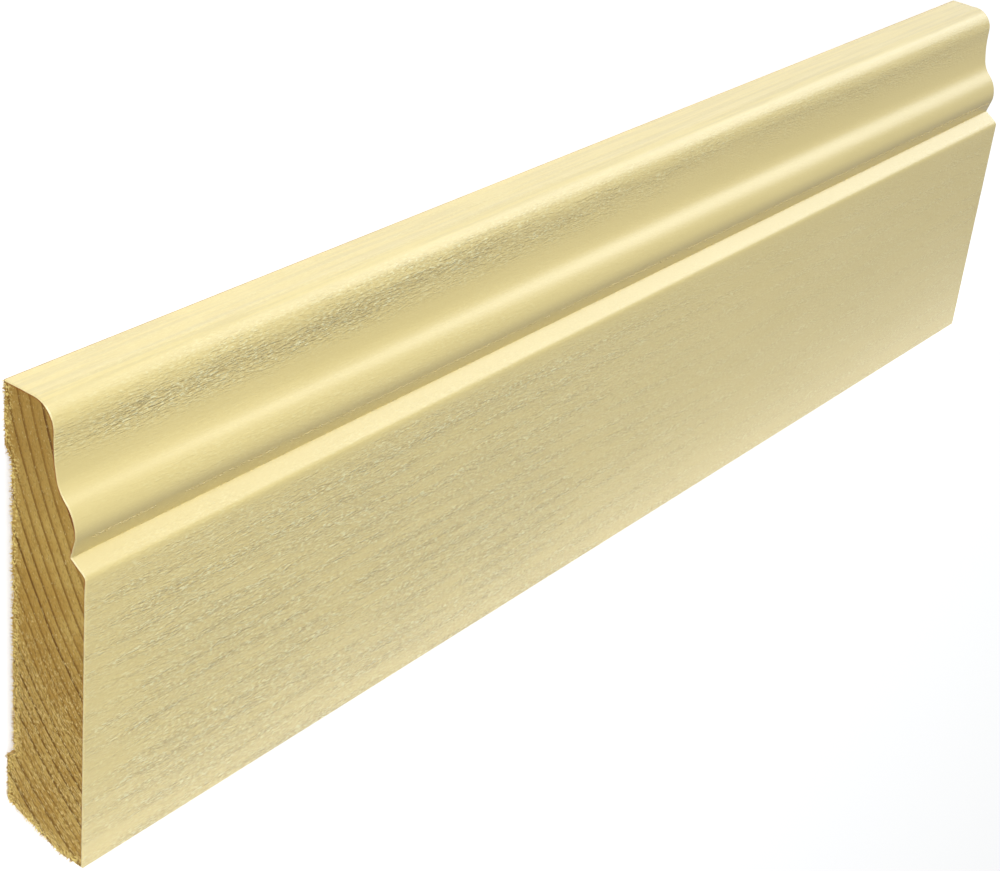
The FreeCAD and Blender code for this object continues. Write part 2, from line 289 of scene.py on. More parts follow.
def ring_field(tree, place):
    """Three things at a place: its ring's random strength, how far it is through the ring,
    and its coordinates in the tree, in mm: along the trunk, out from the pith, round it."""
    in_mm = add(tree, VECTOR, place, {"Scale": 1 / MM}, **SCALED)
    wander = noises(tree, in_mm, wander=(143.0, 29.0, 29.0, 1.0))["wander"]
    from_pith = add(tree, VECTOR, in_mm, (0.0, PITH_UP, PITH_OUT), **LESS)
    parts = add(tree, SPLIT, from_pith).outputs
    across = add(tree, VECTOR, from_pith, (0.0, 1.0, 1.0), **TIMES)
    distance = add(tree, VECTOR, across, operation="LENGTH").outputs["Value"]
    stray = add(tree, MATH, wander, 2 * WANDER, -WANDER, **TIMES_PLUS)
    radius = add(tree, MATH, distance, stray, **PLUS)
    turn = add(tree, MATH, parts["Z"], parts["Y"], operation="ARCTAN2")
    arc = add(tree, MATH, turn, WIDE_FROM, **TIMES)
    in_tree = add(tree, JOIN, parts["X"], radius, arc)
    past = add(tree, MATH, radius, WIDE_FROM, **LESS)
    past = add(tree, MATH, past, 0.0, **MOST)
    past = add(tree, MATH, past, past, **TIMES)
    even = add(tree, MATH, radius, 1 / RING_WIDTH, 20 - FIRST_RING / RING_WIDTH, **TIMES_PLUS)
    count = add(tree, MATH, past, -WIDENING, even, **TIMES_PLUS)
    year = add(tree, MATH, count, operation="FLOOR")
    strength = add(tree, "ShaderNodeTexWhiteNoise", {"W": year}, noise_dimensions="1D")
    within = add(tree, MATH, count, operation="FRACT")
    return strength.outputs["Value"], within, in_tree


# %% [markdown]
# Raised grain. Water in the first coat of paint swells the soft spring wood, and its fibres
# lift into short dashes along the grain that the paint then covers, with fine creases between
# them. On the flat face they gather in bands, one to a ring. Under the nosing the cutter met
# the grain at a slant and tore it, so there they are roughest of all, and the bead, cut
# cleanly, is almost smooth. A dash is noise stretched along the board and kept where it is
# high. A crease is where another such noise passes through its middle value, which draws thin
# wavering lines. The tooth is the finest, single fibre ends that point along the grain. All
# are held back by the band, by slow patches and by the cut.

# %% How rough the cutter left the wood
NECK_UP, NECK_OUT = 41.0, 13.0         # the middle of the torn strip under the nosing
ROW_HEIGHT, DASH_HEIGHT, CREASE_HEIGHT, TOOTH_HEIGHT = 0.02, 0.21, 0.13, 0.27


def cut_roughness(tree, place):
    """From a trace on the clean moulding to about 1 on the flat face and under the nosing."""
    up = add(tree, SPLIT, place).outputs["Y"]
    on_face = add(tree, RAMP, up, 17.0, 13.0, **SMOOTH)
    on_face = where_all(tree, on_face, add(tree, RAMP, up, 5.0, -30.0, 1.0, 1.25))
    section = add(tree, VECTOR, place, (0.0, 1.0, 1.0), **TIMES)
    away = add(tree, VECTOR, section, (0.0, NECK_UP, NECK_OUT), **FAR).outputs["Value"]
    torn = add(tree, RAMP, away, 6.5, 2.6, 0.18, 0.95, **SMOOTH)
    return add(tree, MATH, on_face, torn, **MOST)


def raised_grain(tree, place, within):
    """Height in mm of the lifted fibres, and masks of their crests and of the dips between
    them, at a place in mm and a share of the way through its ring. The paint uses the masks
    for a painted highlight on the crests and a painted shade in the dips."""
    bend = noises(tree, place, bend=(9.0, 2.5, 2.5, 0.0))["bend"]
    slant = add(tree, VECTOR, bend, (0.0, 0.5, 0.5), place, **TIMES_PLUS)
    noise = noises(tree, slant, dash=(1.9, 0.38, 0.38, 1.5), crease=(5.0, 0.8, 0.8, 1.5),
                   tooth=(0.95, 0.27, 0.27, 1.0), patch=(30.0, 7.0, 7.0, 1.0),
                   row=(24.0, 1.1, 1.1, 1.0))
    dash = add(tree, RAMP, noise["dash"], 0.42, 0.70, **SMOOTH)
    from_middle = add(tree, MATH, noise["crease"], 0.5, **LESS)
    from_middle = add(tree, MATH, from_middle, operation="ABSOLUTE")
    crease = add(tree, RAMP, from_middle, 0.10, 0.0, **SMOOTH)
    in_row = add(tree, MATH, noise["row"], 0.45, within, **TIMES_PLUS)
    into_band = add(tree, RAMP, in_row, 0.40, 0.62, 0.5, 1.0, **SMOOTH)
    out_of_band = add(tree, RAMP, in_row, 0.80, 1.05, 1.0, 0.5, **SMOOTH)
    band = where_all(tree, into_band, out_of_band)
    patch = add(tree, RAMP, noise["patch"], 0.30, 0.56, 0.55, 1.0, **SMOOTH)
    along = add(tree, SPLIT, place).outputs["X"]
    from_end = add(tree, RAMP, along, 3 - LENGTH / 2, 18 - LENGTH / 2, 0.5, 1.0, **SMOOTH)
    smoother = add(tree, RAMP, along, 90 - LENGTH / 2, 230 - LENGTH / 2, 1.0, 0.4, **SMOOTH)
    lifted = height_of(tree, (dash, DASH_HEIGHT), (crease, CREASE_HEIGHT), (band, ROW_HEIGHT))
    lifted = where_all(tree, lifted, band)
    height = add(tree, MATH, noise["tooth"], TOOTH_HEIGHT, lifted, **TIMES_PLUS)
    crest = add(tree, RAMP, noise["tooth"], 0.54, 0.68, **SMOOTH)
    dip = add(tree, RAMP, noise["tooth"], 0.47, 0.33, **SMOOTH)
    held = where_all(tree, patch, from_end, smoother, cut_roughness(tree, place))
    return (where_all(tree, height, held), where_all(tree, crest, band, held),
            where_all(tree, dip, band, held))


# %% [markdown]
# The finishes. Paint on wood is a plastic film: satin, so its highlights are broad, and thin
# enough to show every fibre under it. The sawn end is bare, so it is matt and darker than the
# rest, because its cells are cut open, and it is freckled with torn fibre that catches the
# light. The back and the underside come straight off the planer.

# %% Names shared by the finishes
PAINT, SAWN, PLANED = "satin cream paint over pine", "sawn pine end grain", "planed bare pine"
TORN = "torn pine fibre"
materials = {}


def new_material(name):
    """A material's empty tree, the place in mm, and the ring field there."""
    material = bpy.data.materials.new(name)
    material.use_nodes = True
    material.node_tree.nodes.clear()
    materials[name] = material
    tree = material.node_tree
    place = add(tree, "ShaderNodeTexCoord").outputs["Object"]
    return tree, add(tree, VECTOR, place, {"Scale": 1 / MM}, **SCALED), ring_field(tree, place)


def finish(tree, colour, roughness, height, **principled):
    """Join a material's colour, roughness and height in mm to its surface."""
    bump = add(tree, "ShaderNodeBump", {"Height": height, "Distance": MM, "Strength": 1.0})
    shader = add(tree, "ShaderNodeBsdfPrincipled",
                 {"Base Color": colour, "Roughness": roughness, "Normal": bump, **principled})
    add(tree, "ShaderNodeOutputMaterial", {"Surface": shader})


# %% [markdown]
# Satin cream paint. Its colour hardly changes, so nearly all that the eye gets from it is
# relief: the raised grain, the faint orange peel of a sprayed coat on the mouldings, and long
# draw lines on the flat of the top edge, whose low parts are painted darker as painted shade.
# Where the bead meets the groove the cutter left a line of fluff, which the paint has frozen
# into specks. Under the bead the colour is painted a shade darker, a painted shade below its
# overhang. The dips of the raised grain are painted darker, a painted shade, and its crests
# paler, a painted highlight. The shine is strong and whitish, and that is what makes the
# nosing, the bead and the shoulder glow.

# %% Satin cream paint
PEEL_HEIGHT, DRAW_HEIGHT, SPECK_HEIGHT = 0.015, 0.12, 0.12


def cream_paint():
    tree, place, (_, within, _) = new_material(PAINT)
    noise = noises(tree, place, peel=(1.8, 1.1, 1.1, 1.0), draw=(30.0, 0.8, 0.8, 2.0),
                   fluff=(0.9, 0.5, 0.5, 1.0), drift=(45.0, 9.0, 9.0, 2.0))
    up = add(tree, SPLIT, place).outputs["Y"]
    on_top = add(tree, RAMP, up, 45.8, 47.2, **SMOOTH)
    section = add(tree, VECTOR, place, (0.0, 1.0, 1.0), **TIMES)
    groove = (0.0, at["groove"].x + 0.25, at["groove"].y + 0.1)
    away = add(tree, VECTOR, section, groove, **FAR).outputs["Value"]
    in_groove = add(tree, RAMP, away, 0.45, 0.15, **SMOOTH)
    specks = add(tree, RAMP, noise["fluff"], 0.5, 0.62, **SMOOTH)
    lifted, crests, dips = raised_grain(tree, place, within)
    height = height_of(tree, (lifted, 1.0), (noise["peel"], PEEL_HEIGHT),
                       (where_all(tree, noise["draw"], on_top), DRAW_HEIGHT),
                       (where_all(tree, specks, in_groove), SPECK_HEIGHT))
    drift = add(tree, RAMP, noise["drift"], 0.35, 0.65, **SMOOTH)
    # Painted highlight: the crests of the raised grain are painted paler
    painted_crest_highlight = add(tree, RAMP, crests, 0.0, 0.7, 0.0, 1.0)
    # Painted shade: the dips of the raised grain are painted darker
    painted_dip_shade = add(tree, RAMP, dips, 0.0, 0.8, 0.0, 0.45)
    # Painted shade: the low parts of the draw lines on the top edge are painted darker
    painted_shade_in_draw_lines = add(tree, RAMP, noise["draw"], 0.58, 0.38, 0.0, 0.5, **SMOOTH)
    # Painted shade: under the bead, next to the groove, the paint is painted darker
    painted_shade_under_bead = where_all(tree, add(tree, RAMP, away, 6.5, 3.5, 0.0, 0.8, **SMOOTH),
                           add(tree, RAMP, up, at["groove"].x, at["groove"].x + 0.5))
    colour = laid_over(tree, linear("#ECD68B"), (drift, "#EED88E"),
                       (where_all(tree, painted_shade_in_draw_lines, on_top), "#DAC583"), (painted_shade_under_bead, "#CEB978"),
                       (painted_dip_shade, "#CAA95A"), (painted_crest_highlight, "#FFF5BC"))
    finish(tree, colour, 0.46, height, **{"IOR": 1.5, "Coat Weight": 1.0, "Coat IOR": 1.9,
                                          "Coat Roughness": 0.36})


# %% [markdown]
# Sawn end grain. Cut across, the hard summer wood shows as thin dark lines, some faint and
# some strong. Between them the saw has pulled fibres out in little tufts, drawn out along the
# ring, so the noise for them is laid in the tree's own coordinates: small across a ring and
# longer round it. Tufts are thickest towards the bare edges, where nothing held the fibres,
# and over the lower half. At the painted edge the first coat has soaked in and left an
# orange-brown stain, and along the flat face the paint itself wraps over the edge.

# %% Sawn end grain
FILM, FACE_FILM, SOAKED = 0.10, 0.30, 0.85   # paint over the end's edge, and the stain, in mm


def end_grain():
    tree, place, (strength, within, in_tree) = new_material(SAWN)
    up = add(tree, SPLIT, place).outputs["Y"]
    film = add(tree, "ShaderNodeAttribute", attribute_name="film_mm").outputs["Fac"]
    torn = add(tree, "ShaderNodeAttribute", attribute_name="torn_mm").outputs["Fac"]
    low = add(tree, RAMP, up, 14.0, -16.0, **SMOOTH)
    high = add(tree, RAMP, up, 18.0, 40.0, 0.0, 0.6, **SMOOTH)
    noise = noises(tree, place, ground=(9.0, 7.0, 7.0, 1.0), gold=(3.0, 0.40, 0.5, 1.0),
                   patchy=(9.0, 2.2, 2.2, 1.0), fray=(9.0, 0.9, 0.9, 1.0))
    fibre = noises(tree, in_tree, mottle=(3.0, 0.32, 0.8, 2.0), tuft=(3.0, 0.22, 0.75, 1.5),
                   broken=(5.0, 2.0, 9.0, 2.0))

    # The wood itself, warmer towards each summer, with dark bits between the pulled fibres
    ground = add(tree, RAMP, noise["ground"], 0.35, 0.65, **SMOOTH)
    warm = add(tree, RAMP, within, 0.25, 0.95, 0.0, 0.45, **SMOOTH)
    dark = add(tree, RAMP, fibre["mottle"], 0.50, 0.34, **SMOOTH)
    dark = where_all(tree, dark, add(tree, RAMP, low, 0.0, 1.0, 0.45, 0.85))

    # The summer lines: soft towards the spring side, sharp on the other. In the lower half
    # a dry spell drew a second, fainter line into each ring
    rising = add(tree, RAMP, within, 0.67, 0.88, **SMOOTH)
    falling = add(tree, RAMP, within, 1.0, 0.95, **SMOOTH)
    depth = add(tree, RAMP, strength, 0.1, 0.75, 0.5, 0.95, **SMOOTH)
    broken = add(tree, RAMP, fibre["broken"], 0.28, 0.48, 0.75, 1.0, **SMOOTH)
    line = where_all(tree, rising, falling, depth, broken)
    second = where_all(tree, add(tree, RAMP, within, 0.30, 0.44, **SMOOTH),
                       add(tree, RAMP, within, 0.50, 0.45, **SMOOTH), broken, low)
    second = add(tree, MATH, second, 0.65, **TIMES)

    # Pulled fibres: a bar that the noise must pass is lower towards bare edges and below
    near_bare = add(tree, RAMP, torn, 4.0, 0.2, **SMOOTH)
    bar = height_of(tree, (near_bare, -0.06), (low, -0.085))
    over = add(tree, MATH, add(tree, MATH, fibre["tuft"], bar, **LESS), 0.65, **LESS)
    light = add(tree, RAMP, over, 0.0, 0.06, **SMOOTH)
    crumb = add(tree, RAMP, noise["gold"], 0.52, 0.60, **SMOOTH)
    gold = where_all(tree, crumb, add(tree, RAMP, torn, 3.2, 0.2, **SMOOTH))

    # At the painted edge: the stain, and over it the paint
    patchy = add(tree, RAMP, noise["patchy"], 0.35, 0.6, 0.4, 1.0, **SMOOTH)
    soaked = add(tree, RAMP, film, FILM + SOAKED, FILM + 0.06, 0.0, 0.8, **SMOOTH)
    reach = add(tree, RAMP, up, 16.5, 14.0, FILM, FACE_FILM, **SMOOTH)
    frayed = add(tree, MATH, noise["fray"], 0.16, reach, **TIMES_PLUS)
    past = add(tree, MATH, frayed, film, **LESS)
    painted_over = add(tree, RAMP, past, -0.12, -0.02, **SMOOTH)

    colour = laid_over(tree, linear("#BA9447"), (ground, "#C7A558"), (high, "#A8823E"),
                       (warm, "#AC7F30"),
                       (dark, "#8C6A2C"), (second, "#805524"), (line, "#6B4516"),
                       (where_all(tree, light, 0.85), "#EBCF86"), (gold, "#F6DC86"),
                       (where_all(tree, soaked, patchy), "#A05A2A"), (painted_over, "#EFE0AC"))
    height = height_of(tree, (light, 0.09), (gold, 0.05), (fibre["mottle"], 0.05))
    finish(tree, colour, 0.8, height, **{"IOR": 1.5, "Specular IOR Level": 0.2})


# %% [markdown]
# Planed bare pine. The back was never meant to be seen, so it keeps the planer's finish: pale,
# a little silky along the grain, with the summer wood as wider soft bands where the cut runs
# nearly along a ring, and short brown flecks. Light falls on it evenly, with no film over it.

# %% Planed bare pine
def planed_pine():
    tree, place, (strength, within, _) = new_material(PLANED)
    noise = noises(tree, place, fibre=(24.0, 0.3, 0.3, 3.0), tone=(90.0, 12.0, 12.0, 2.0),
                   fleck=(2.2, 0.3, 0.3, 1.0))
    rising = add(tree, RAMP, within, 0.45, 0.95, **SMOOTH)
    falling = add(tree, RAMP, within, 1.0, 0.96, **SMOOTH)
    depth = add(tree, RAMP, strength, 0.0, 1.0, 0.4, 0.9, **SMOOTH)
    line = where_all(tree, rising, falling, depth)
    dark_fibre = add(tree, RAMP, noise["fibre"], 0.35, 0.7, 0.0, 0.45, **SMOOTH)
    fleck = add(tree, RAMP, noise["fleck"], 0.66, 0.72, 0.0, 0.6, **SMOOTH)
    colour = laid_over(tree, linear("#CFA868"), (noise["tone"], "#DDBD86"),
                       (dark_fibre, "#B98C4C"), (line, "#9F6E34"), (fleck, "#8A5E2C"))
    finish(tree, colour, 0.62, height_of(tree, (noise["fibre"], 0.04), (line, 0.025)), IOR=1.5)


# %% [markdown]
# Torn fibre. The slivers and crumbs that hang on the sawn edges are single bundles of clean
# wood with light coming through them, so they are the palest, goldest wood on the board.

# %% Torn pine fibre
def torn_fibre():
    tree, place, _ = new_material(TORN)
    noise = noises(tree, place, tone=(1.5, 0.8, 0.8, 1.0), thread=(0.8, 0.15, 0.15, 1.0))
    tone = add(tree, RAMP, noise["tone"], 0.40, 0.62, **SMOOTH)
    colour = laid_over(tree, linear("#B99447"), (tone, "#F4DC92"))
    finish(tree, colour, 0.6, height_of(tree, (noise["thread"], 0.04)), IOR=1.5)


cream_paint()
end_grain()
planed_pine()
torn_fibre()
print("materials:", ", ".join(materials))

# %% [markdown]
# The board itself. A moulding is a section run along a line, which is what Curve to Mesh
# makes: the section is the profile and a straight curve the rail. Extruding the outline in
# mesh code gives the same skin, but the node tree keeps the length and the spacing as named
# inputs. The rail is turned half round, because that node lays a profile's own x against +Y.
# A number stored on the profile, 1 where it is painted, comes through on every face, and
# picks the face's material. The stations crowd together towards both ends, where saw and
# eye both find the most to do, and spread out in the middle.

# %% The profile as a mesh of edges
ARRIS = 0.2                            # the ends' edges are eased by this much
profile_mesh = bpy.data.meshes.new("profile")
profile_mesh.from_pydata([(p.x * MM, p.y * MM, 0) for p in outline],
                         [(k, (k + 1) % len(outline)) for k in range(len(outline))], [])
paint_share = [1.0] * len(painted) + [0.0] * len(bare)
paint_share[0] = paint_share[len(painted)] = 0.5
profile_mesh.attributes.new("painted", "FLOAT", "POINT").data.foreach_set("value", paint_share)


# %% The tree that runs the section along the length
def group(name, **inputs):
    """A new tree of geometry nodes with a geometry in and out and the named inputs."""
    tree = bpy.data.node_groups.new(name, "GeometryNodeTree")
    tree.interface.new_socket("Geometry", in_out="INPUT", socket_type="NodeSocketGeometry")
    for label, kind in inputs.items():
        tree.interface.new_socket(label, in_out="INPUT", socket_type="NodeSocket" + kind)
    tree.interface.new_socket("Geometry", in_out="OUTPUT", socket_type="NodeSocketGeometry")
    return tree, add(tree, "NodeGroupInput").outputs


def section_run():
    tree, given = group("section run along a length", Length="Float", Stations="Int",
                        Crowding="Float", Painted="Material", Bare="Material")
    profile = add(tree, "GeometryNodeMeshToCurve", given["Geometry"])
    half = add(tree, MATH, given["Length"], 0.5, **TIMES)
    back = add(tree, MATH, half, -1.0, **TIMES)
    rail = add(tree, "GeometryNodeCurvePrimitiveLine",
               {"Start": add(tree, JOIN, back), "End": add(tree, JOIN, half)})
    rail = add(tree, "GeometryNodeResampleCurve", {"Curve": rail, "Count": given["Stations"]})
    rail = add(tree, "GeometryNodeSetCurveTilt", {"Curve": rail, "Tilt": math.pi})
    skin = add(tree, "GeometryNodeCurveToMesh", {"Curve": rail, "Profile Curve": profile})

    # A sine of one full wave over the length pushes every station towards its nearer end
    along = add(tree, SPLIT, add(tree, "GeometryNodeInputPosition")).outputs["X"]
    angle = add(tree, MATH, add(tree, MATH, along, half, operation="DIVIDE"), math.pi, **TIMES)
    push = add(tree, MATH, add(tree, MATH, angle, operation="SINE"), 1 / math.pi, **TIMES)
    push = where_all(tree, push, given["Crowding"], half)
    skin = add(tree, "GeometryNodeSetPosition", {"Geometry": skin, "Offset": add(tree, JOIN, push)})

    share = add(tree, "GeometryNodeInputNamedAttribute", {"Name": "painted"}, data_type="FLOAT")
    is_painted = add(tree, "FunctionNodeCompare", share, 0.5, operation="GREATER_THAN")
    skin = add(tree, "GeometryNodeRealizeInstances", skin)
    skin = add(tree, "GeometryNodeSetMaterial", {"Geometry": skin, "Material": given["Bare"]})
    skin = add(tree, "GeometryNodeSetMaterial",
               {"Geometry": skin, "Selection": is_painted, "Material": given["Painted"]})
    add(tree, "NodeGroupOutput", skin)
    return tree


# %% Turn a tree's result into a plain mesh
def grow(name, mesh, tree, **inputs):
    """Run a tree on a mesh and return an object with the result as a plain mesh."""
    made = bpy.data.objects.new(name, mesh)
    bpy.context.scene.collection.objects.link(made)
    modifier = made.modifiers.new(name, "NODES")
    modifier.node_group = tree
    for item in tree.interface.items_tree:
        if item.name in inputs:
            modifier[item.identifier] = inputs[item.name]
    bpy.context.view_layer.update()
    grown = bpy.data.meshes.new_from_object(
        made.evaluated_get(bpy.context.evaluated_depsgraph_get()))
    made.modifiers.clear()
    made.data = grown
    grown.name = name
    return made


STATIONS, CROWDING = 170, 0.5
board = grow("moulded_board", profile_mesh, section_run(),
             Length=(LENGTH - 2 * ARRIS) * MM, Stations=STATIONS, Crowding=CROWDING,
             Painted=materials[PAINT], Bare=materials[PLANED])
print(f"skin: {len(board.data.polygons)} faces, materials "
      f"{[m.name for m in board.data.materials]}")

# %% [markdown]
# The sawn ends. A flat cap of one face would do for a plain cut, but a sawn end has relief,
# so the cap needs points of its own inside the outline. A constrained Delaunay triangulation
# takes the outline and any inner points and joins them without slivers. Rows of points just
# inside the outline carry two distances that the end's finish reads: how far it is to the
# painted edge and how far to the bare one.

# %% Points inside the section
CAP_GRID, RIM_ROWS = 0.5, (0.25, 0.55, 0.95)
rng = random.Random(7)


def edge_distance(points, line):
    """From each point to an open line of points: the distance, and the number of its span."""
    begin, end = line[:-1], line[1:]
    step = end - begin
    t = np.clip(((points[:, None] - begin) * step).sum(2) / (step ** 2).sum(1), 0, 1)
    far = np.sqrt((((begin + t[..., None] * step) - points[:, None]) ** 2).sum(2))
    return far.min(1), far.argmin(1)


def inwards(points):
    """The direction into the board at each point of the closed outline."""
    ahead = np.roll(points, -1, 0) - points
    ahead /= np.linalg.norm(ahead, axis=1)[:, None]
    mean = ahead + np.roll(ahead, 1, 0)
    mean /= np.linalg.norm(mean, axis=1)[:, None]
    mitre = 1 / np.clip((mean * ahead).sum(1), 0.5, 1)
    return np.column_stack([-mean[:, 1], mean[:, 0]]), mitre[:, None]


full = np.array([tuple(p) for p in outline])
inward, mitre = inwards(full)
paint_line = full[:len(painted) + 1]
bare_line = np.vstack([full[len(painted):], full[:1]])
rim = full + inward * mitre * ARRIS
loop = np.vstack([rim, rim[:1]])


def inner_points():
    rows = int(HEIGHT / (CAP_GRID * 0.87))
    grid = [(BOTTOM + (r + 0.5) * CAP_GRID * 0.87 + rng.uniform(-0.1, 0.1),
             (c + 0.5 * (r % 2)) * CAP_GRID + rng.uniform(-0.1, 0.1))
            for r in range(rows) for c in range(int(THICKNESS / CAP_GRID) + 1)]
    kept = []
    for k, depth in enumerate(RIM_ROWS):
        row = (full + inward * mitre * (ARRIS + depth))[::1 + k]
        kept.append(row[edge_distance(row, loop)[0] > 0.9 * depth])
    grid = np.array(grid)
    kept.append(grid[edge_distance(grid, loop)[0] > RIM_ROWS[-1] + 0.3])
    points = np.vstack(kept)
    inside = np.zeros(len(points), bool)
    for a, b in zip(loop[:-1], loop[1:]):
        crosses = (a[1] > points[:, 1]) != (b[1] > points[:, 1])
        where = a[0] + (points[:, 1] - a[1]) * (b[0] - a[0]) / ((b[1] - a[1]) or 1e-12)
        inside ^= crosses & (points[:, 0] < where)
    return points[inside]


# %% Close both ends
def close_ends(mesh):
    count = len(full)
    inner = inner_points()
    flat = [Vector(p) for p in np.vstack([rim, inner])]
    ring = list(range(count))
    verts, _, faces, origin, _, _ = delaunay_2d_cdt(
        flat, [(k, (k + 1) % count) for k in ring], [ring], 1, 1e-6)
    print(f"cap: {len(verts)} points, {len(faces)} faces, rim kept "
          f"{all(origin[k] == [k] for k in ring)}")
    paint_slot, bare_slot = mesh.materials.find(PAINT), mesh.materials.find(PLANED)
    shape = bmesh.new()
    shape.from_mesh(mesh)
    on_end = shape.faces.layers.int.new("on_end")
    shape.verts.ensure_lookup_table()
    skin = list(shape.verts)
    for first, x in ((0, -LENGTH / 2), (len(skin) - count, LENGTH / 2)):
        cap = [shape.verts.new((x * MM, v.x * MM, v.y * MM)) for v in verts]
        for tri in faces:
            shape.faces.new([cap[k] for k in tri])[on_end] = 1
        for k in range(count):
            after = (k + 1) % count
            strip = shape.faces.new((skin[first + k], skin[first + after], cap[after], cap[k]))
            strip.material_index = paint_slot if k < len(painted) else bare_slot
    bmesh.ops.recalc_face_normals(shape, faces=shape.faces)
    shape.to_mesh(mesh)
    shape.free()


close_ends(board.data)

# %% [markdown]
# What the relief and the finishes need to know about a point: its distance from the painted
# edge and from the bare one, the way into the board, and whether it lies on a sawn end. The
# tearing reaches into the board by its own direction, so that a rim, the strip round it and
# the skin behind it all move together and no gap can open.

# %% Store what the relief needs to know
TEAR_REACH, TEAR_LENGTH, RIM_CALM = 2.2, 4.0, 0.7   # in mm: into the end, along the board, the rim


def store_distances(mesh):
    co = np.zeros(len(mesh.vertices) * 3)
    mesh.vertices.foreach_get("co", co)
    co = co.reshape(-1, 3) / MM
    from_end = LENGTH / 2 - np.abs(co[:, 0])
    on_end = from_end < ARRIS / 2
    film, torn = np.full(len(co), 99.0), from_end.copy()
    film[on_end] = edge_distance(co[on_end, 1:], paint_line)[0]
    torn[on_end] = edge_distance(co[on_end, 1:], bare_line)[0]
    closed = np.vstack([full, full[:1]])
    off, span = edge_distance(co[:, 1:], closed)
    bare_span = span >= len(painted)
    share = np.clip(1 - np.where(on_end, off / TEAR_REACH, from_end / TEAR_LENGTH), 0, 1)
    share *= bare_span
    fade = np.clip((edge_distance(co[:, 1:], paint_line)[0] - 0.3) / 1.5, 0, 1)
    way = np.column_stack([np.zeros(len(co)), inward[span]]) * (share * fade)[:, None]
    sawn = np.where(on_end, np.clip((off - ARRIS) / RIM_CALM, 0, 1), 0.0)
    for name, values in (("film_mm", film), ("torn_mm", torn), ("sawn", sawn)):
        mesh.attributes.new(name, "FLOAT", "POINT").data.foreach_set("value", values)
    mesh.attributes.new("tear_way", "FLOAT_VECTOR", "POINT").data.foreach_set(
        "vector", way.ravel())
    print(f"points that may tear: {int((share * fade > 0).sum())}, on the sawn faces: "
          f"{int((sawn > 0).sum())}")


store_distances(board.data)

# %% [markdown]
# Relief of the wood. The cutter's knives leave the painted side a little wavy, one swell to a
# ring, and a shallow hollow runs along the top edge just before the nosing. The saw leaves
# the hard rings standing and the soft wood plucked, and where it comes out through a bare
# edge it breaks fibres away. All of that is real shape, seen in the outline and in how light
# rolls over the surface, so it is moved into the mesh. Only what is finer than the mesh stays
# with the finishes' bump.

# %% The tree that gives the board its relief
HOLLOW_UP, HOLLOW_OUT = 47.5, 6.3      # the middle of the hollow in the top edge


def wood_relief():
    tree, given = group("relief of the wood", Swell="Float", Hollow="Float", Tear="Float",
                        Plucked="Float", Sawn="Material")
    place = add(tree, "GeometryNodeInputPosition")
    in_mm = add(tree, VECTOR, place, {"Scale": 1 / MM}, **SCALED)
    _, _, in_tree = ring_field(tree, place)
    painted_share, sawn = [
        add(tree, "GeometryNodeInputNamedAttribute", {"Name": name}, data_type="FLOAT")
        for name in ("painted", "sawn")]
    tear_way = add(tree, "GeometryNodeInputNamedAttribute", {"Name": "tear_way"},
                   data_type="FLOAT_VECTOR")
    on_end = add(tree, "GeometryNodeInputNamedAttribute", {"Name": "on_end"}, data_type="INT")
    normal = add(tree, "GeometryNodeInputNormal")
    noise = noises(tree, in_mm, swell=(28.0, 3.2, 3.2, 1.0), bite=(14.0, 1.1, 1.1, 2.0))
    pluck = noises(tree, in_tree, pluck=(3.0, 1.2, 2.6, 2.0))["pluck"]

    # Swells and the hollow on the painted side, and plucked fibre on the ends, all sink in
    section = add(tree, VECTOR, in_mm, (0.0, 1.0, 1.0), **TIMES)
    away = add(tree, VECTOR, section, (0.0, HOLLOW_UP, HOLLOW_OUT), **FAR).outputs["Value"]
    in_hollow = add(tree, RAMP, away, 1.5, 0.0, **SMOOTH)
    sunk = height_of(tree,
                     (where_all(tree, noise["swell"], painted_share), given["Swell"]),
                     (where_all(tree, in_hollow, painted_share), given["Hollow"]),
                     (where_all(tree, pluck, sawn), given["Plucked"]))
    move = add(tree, VECTOR, normal, {"Scale": add(tree, MATH, sunk, -MM, **TIMES)}, **SCALED)

    # Bites out of the bare edges, long along the board and short across it
    bite = add(tree, RAMP, noise["bite"], 0.34, 0.66, **SMOOTH)
    bite = where_all(tree, bite, given["Tear"], MM)
    bite = add(tree, VECTOR, tear_way, {"Scale": bite}, **SCALED)
    move = add(tree, VECTOR, move, bite, **PLUS)
    moved = add(tree, "GeometryNodeSetPosition", {"Geometry": given["Geometry"], "Offset": move})
    moved = add(tree, "GeometryNodeRealizeInstances", moved)
    moved = add(tree, "GeometryNodeSetMaterial",
                {"Geometry": moved, "Selection": on_end, "Material": given["Sawn"]})
    add(tree, "NodeGroupOutput", moved)
    return tree


# %% Raise the relief
flat_mesh = board.data
bpy.data.objects.remove(board)
board = grow("moulded_board", flat_mesh, wood_relief(), Swell=0.05, Hollow=0.07, Tear=0.5,
             Plucked=0.16, Sawn=materials[SAWN])
board.data.shade_smooth()
board.data.set_sharp_from_angle(angle=math.radians(38))
print(f"board: {len(board.data.polygons)} faces, "
      f"{sum(len(f.vertices) - 2 for f in board.data.polygons)} triangles, materials "
      f"{[m.name for m in board.data.materials]}")

# %% [markdown]
# Torn fibres. A saw that comes out through bare wood leaves a fringe: slivers still held at
# one end, sticking out of the edge at all angles. They are real shape, since they roughen
# the board's outline, so they are small tapered rods, sown along the bare edge of each end.
# Particles or hair would need a renderer's own settings. Here a tree of nodes walks along
# the edge, drops a point every quarter of a millimetre, and stands a sliver on each, with
# every length, thickness and lean drawn from a fixed seed. Those that would reach under the
# board are laid flat on the plane that it rests on.

